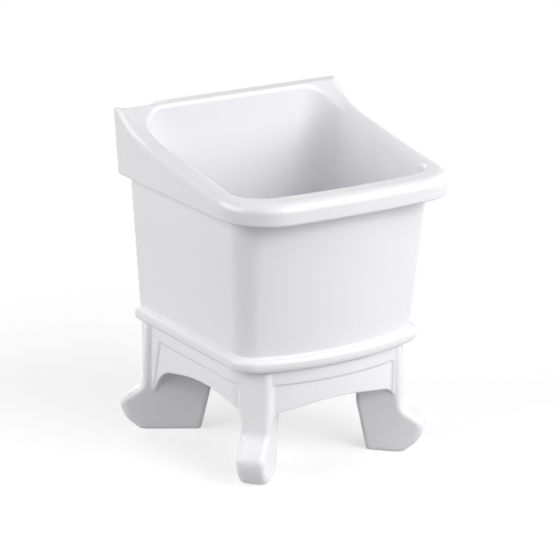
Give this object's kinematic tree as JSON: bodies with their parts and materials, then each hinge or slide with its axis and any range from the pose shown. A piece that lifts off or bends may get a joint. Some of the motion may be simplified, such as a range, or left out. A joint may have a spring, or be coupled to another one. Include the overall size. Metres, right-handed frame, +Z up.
{
  "type": "utility laundry sink",
  "caption": "Glazed ceramic laundry and mop basin with a sloping rim and splashback on a scroll-footed stand, with a pop-up waste.",
  "frame": {"origin": "on the floor, under the middle of the sink's bounding box", "axes": "+X to the right seen from the front, -Y to the front, +Y to the wall, +Z up"},
  "size_m": [0.4094, 0.378, 0.53],
  "materials": {
    "white_glaze": "glossy white glaze on fireclay",
    "silicone": "white sanitary silicone",
    "steel": "turned and polished stainless steel",
    "brass": "turned brass",
    "black_rubber": "moulded black rubber",
    "white_plastic": "moulded white polypropylene"
  },
  "bodies": {
    "root": {"basin": "white_glaze", "stand": "white_glaze", "setting_bed": "silicone", "drain_body": "steel", "flange_washer": "black_rubber", "clamp_washer": "black_rubber", "slip_washer": "white_plastic", "lock_nut": "white_plastic", "tail_nut": "white_plastic", "tail_washer": "black_rubber", "tailpiece": "white_plastic"},
    "core": {"strainer_basket": "steel", "plug_sleeve": "brass", "plug_spring": "steel"},
    "plug": {"plug_cap": "steel", "plug_seal": "black_rubber", "plug_stem": "brass", "stem_clip": "steel"}
  },
  "joints": [
    {"name": "core_lift", "type": "slide", "parent": "root", "child": "core", "axis": [0, 0, 1], "range_m": [0, 0.08]},
    {"name": "plug_press", "type": "slide", "parent": "core", "child": "plug", "axis": [0, 0, 1], "range_m": [-0.009, 0], "stiffness_N_per_m": 800, "springref_m": 0.006, "deforming": ["plug_spring"]}
  ]
}
